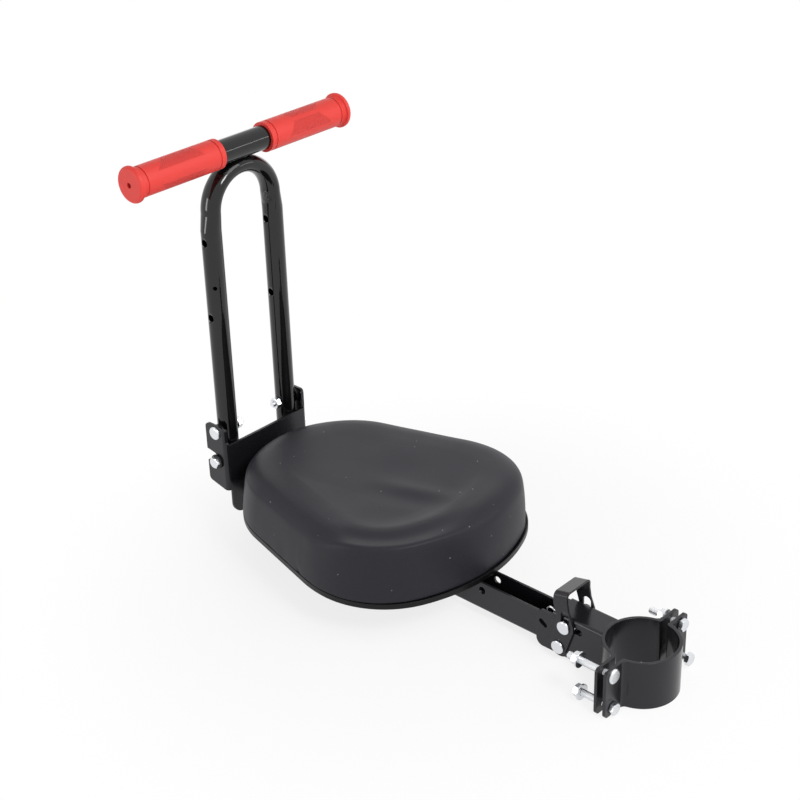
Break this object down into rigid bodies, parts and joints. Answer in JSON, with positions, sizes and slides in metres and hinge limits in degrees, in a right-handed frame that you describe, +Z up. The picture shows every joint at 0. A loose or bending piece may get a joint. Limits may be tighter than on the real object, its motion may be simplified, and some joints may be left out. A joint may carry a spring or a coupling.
{
  "type": "kids handlebar bike seat",
  "caption": "Padded child bicycle seat on a steel arm with a quick-release post clamp and a folding loop handlebar with soft grips.",
  "frame": {"origin": "on the axis of the clamp bore at the middle of the clamp's height", "axes": "+X forward from the post clamp to the handle, the way the child faces; +Y to the child's left; +Z up along the post"},
  "size_m": [0.4972, 0.25, 0.3815],
  "materials": {
    "satin_black_steel": "satin black powder coat",
    "gloss_black_steel": "gloss black paint",
    "zinc_steel": "bright zinc plate",
    "red_rubber": "moulded coral red rubber, matt",
    "pad_vinyl": "matt charcoal leather-grain vinyl over foam",
    "black_plastic": "black plastic washer"
  },
  "bodies": {
    "frame": {"clamp_front_half": "satin_black_steel", "clamp_rear_half": "satin_black_steel", "clamp_hex_bolts": "zinc_steel", "clamp_round_bolt": "zinc_steel", "clamp_nuts": "zinc_steel", "clamp_washers": "zinc_steel", "latch_housing": "satin_black_steel", "latch_pivot_rivet": "zinc_steel", "latch_spring": "zinc_steel", "seat_arm": "satin_black_steel", "seat_pan": "satin_black_steel", "seat_pad": "pad_vinyl", "seat_bolts": "zinc_steel", "handle_bracket": "satin_black_steel", "pivot_bolts": "zinc_steel", "pivot_nuts": "zinc_steel", "pivot_spacers": "black_plastic"},
    "handle": {"handle_loop": "gloss_black_steel", "crossbar": "gloss_black_steel", "left_grip": "red_rubber", "right_grip": "red_rubber", "lock_bolts": "zinc_steel", "lock_washers": "black_plastic", "lock_nuts": "zinc_steel"},
    "bail": {"latch_bail": "satin_black_steel"},
    "latch_pin": {"latch_pin": "zinc_steel"}
  },
  "joints": [
    {"name": "handle_fold", "type": "hinge", "parent": "frame", "child": "handle", "pos_m": [0.4507, 0, 0.0744], "axis": [0, -1, 0], "range_deg": [0, 82]},
    {"name": "bail_swing", "type": "hinge", "parent": "frame", "child": "bail", "pos_m": [0.073, 0, -0.0105], "axis": [0, -1, 0], "range_deg": [0, 27], "deforming": ["latch_spring"]},
    {"name": "latch_pin_slide", "type": "slide", "parent": "frame", "child": "latch_pin", "axis": [-1, 0, 0], "range_m": [0, 0.014]}
  ],
  "couplings": [
    {"joint": "latch_pin_slide", "follows": "bail_swing", "m_per_rad": 0.029709}
  ]
}
